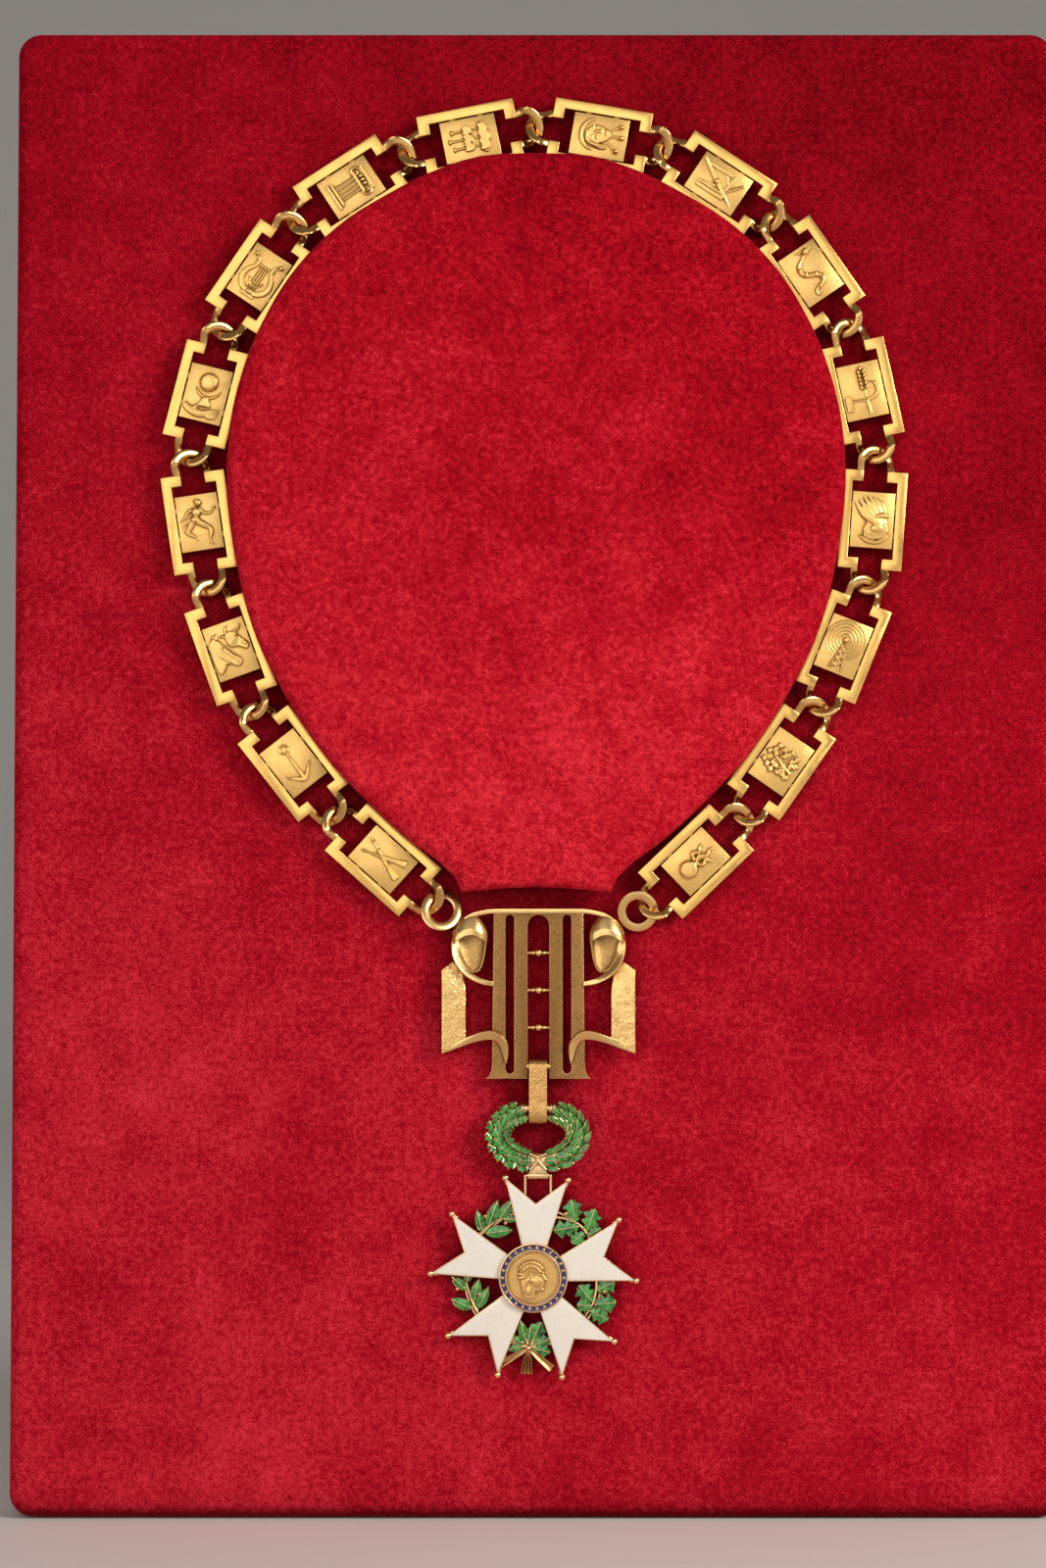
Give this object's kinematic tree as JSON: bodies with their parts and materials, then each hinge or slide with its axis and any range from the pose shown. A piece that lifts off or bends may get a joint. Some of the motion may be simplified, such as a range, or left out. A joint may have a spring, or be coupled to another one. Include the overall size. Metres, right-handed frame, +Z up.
{
  "type": "chivalric order collar on display board",
  "caption": "Gold collar of pierced relief links with an openwork centre piece, enamelled wreath and five-armed star, laid round a raised neck pad on a velvet board.",
  "frame": {"origin": "middle of the display board's back face", "axes": "+Z up the board, -Y out of its front, +X to the viewer's right"},
  "size_m": [0.403, 0.0459, 0.573],
  "materials": {
    "board_velvet": "crimson velvet, cut pile with a mottled nap",
    "pad_velvet": "crimson velvet over padding, fine diagonal weave",
    "gold": "satin yellow gold, polished on raised edges",
    "antique_gold": "granular antique gold with lighter worn edges",
    "green_enamel": "glossy translucent green enamel with gold outlines",
    "white_enamel": "glossy white enamel on gold, gold balls at the tips",
    "blue_enamel": "glossy violet-blue enamel"
  },
  "bodies": {
    "display": {"display_board": "board_velvet", "neck_pad": "pad_velvet", "link_rifles": "gold", "link_anchor": "gold", "link_livestock": "gold", "link_athlete": "gold", "link_globe": "gold", "link_lyre": "gold", "link_capital": "gold", "link_ships": "gold", "link_mask": "gold", "link_compasses": "gold", "link_serpent": "gold", "link_sickle": "gold", "link_winged_cap": "gold", "link_radio_mast": "gold", "link_tree": "gold", "link_grenade": "gold", "centre_motif": "antique_gold"},
    "bail": {"bail": "gold"},
    "wreath": {"wreath": "green_enamel"},
    "star": {"star_cross": "white_enamel", "star_branches": "green_enamel", "medallion_ring": "blue_enamel", "medallion_disc": "gold"}
  },
  "joints": [
    {"name": "bail_swing", "type": "hinge", "parent": "display", "child": "bail", "pos_m": [0.0009, -0.03525, -0.11404], "axis": [-1, 0, 0], "range_deg": [0, 40]},
    {"name": "wreath_swing", "type": "hinge", "parent": "bail", "child": "wreath", "pos_m": [0.0007, -0.03525, -0.13004], "axis": [-1, 0, 0], "range_deg": [0, 40]},
    {"name": "star_swing", "type": "hinge", "parent": "wreath", "child": "star", "pos_m": [-0.0011, -0.03525, -0.15564], "axis": [-1, 0, 0], "range_deg": [0, 45]}
  ]
}
